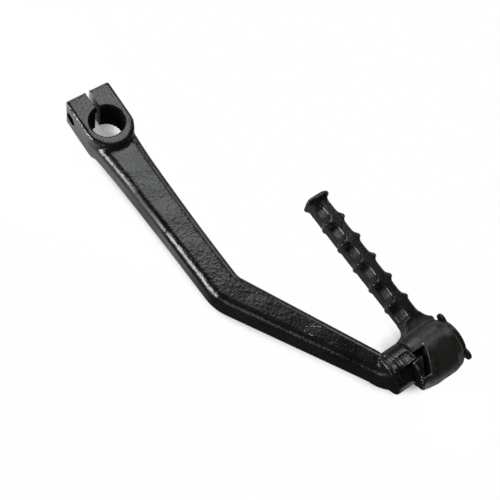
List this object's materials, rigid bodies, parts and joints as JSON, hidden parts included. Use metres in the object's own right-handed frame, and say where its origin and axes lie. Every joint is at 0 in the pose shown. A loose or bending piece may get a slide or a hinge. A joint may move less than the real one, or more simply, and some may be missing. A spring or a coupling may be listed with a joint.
{
  "type": "kick start lever",
  "caption": "Bent forged kick start lever with a serrated clamp boss, and a ribbed foot pedal that folds back beside the arm on a sprung ball detent.",
  "frame": {"origin": "centre of the shaft bore, at the middle of the clamp boss's thickness", "axes": "+Z along the shaft bore and outwards from the engine; +X from the bore down the arm, in the plane of the clamp slot; +Y towards the side the pedal is on"},
  "size_m": [0.1895, 0.0879, 0.0248],
  "materials": {
    "black_paint": "satin black powder coat over a cast skin, chipped at the edges",
    "bare_steel": "bare hardened steel",
    "black_clip": "blackened steel"
  },
  "bodies": {
    "arm": {"crank_arm": "black_paint", "detent_spring": "bare_steel", "thrust_washer": "black_clip", "retaining_clip": "black_clip"},
    "pedal": {"folding_pedal": "black_paint"},
    "ball": {"detent_ball": "bare_steel"}
  },
  "joints": [
    {"name": "pedal_fold", "type": "hinge", "parent": "arm", "child": "pedal", "pos_m": [0.1596, 0.0629, 0], "axis": [-0.0349, 0.9994, 0], "range_deg": [0, 90]},
    {"name": "detent_ball_slide", "type": "slide", "parent": "arm", "child": "ball", "axis": [0, 0, -1], "range_m": [0, 0.0008], "stiffness_N_per_m": 2000, "springref_m": 0.0016, "deforming": ["detent_spring"]}
  ]
}
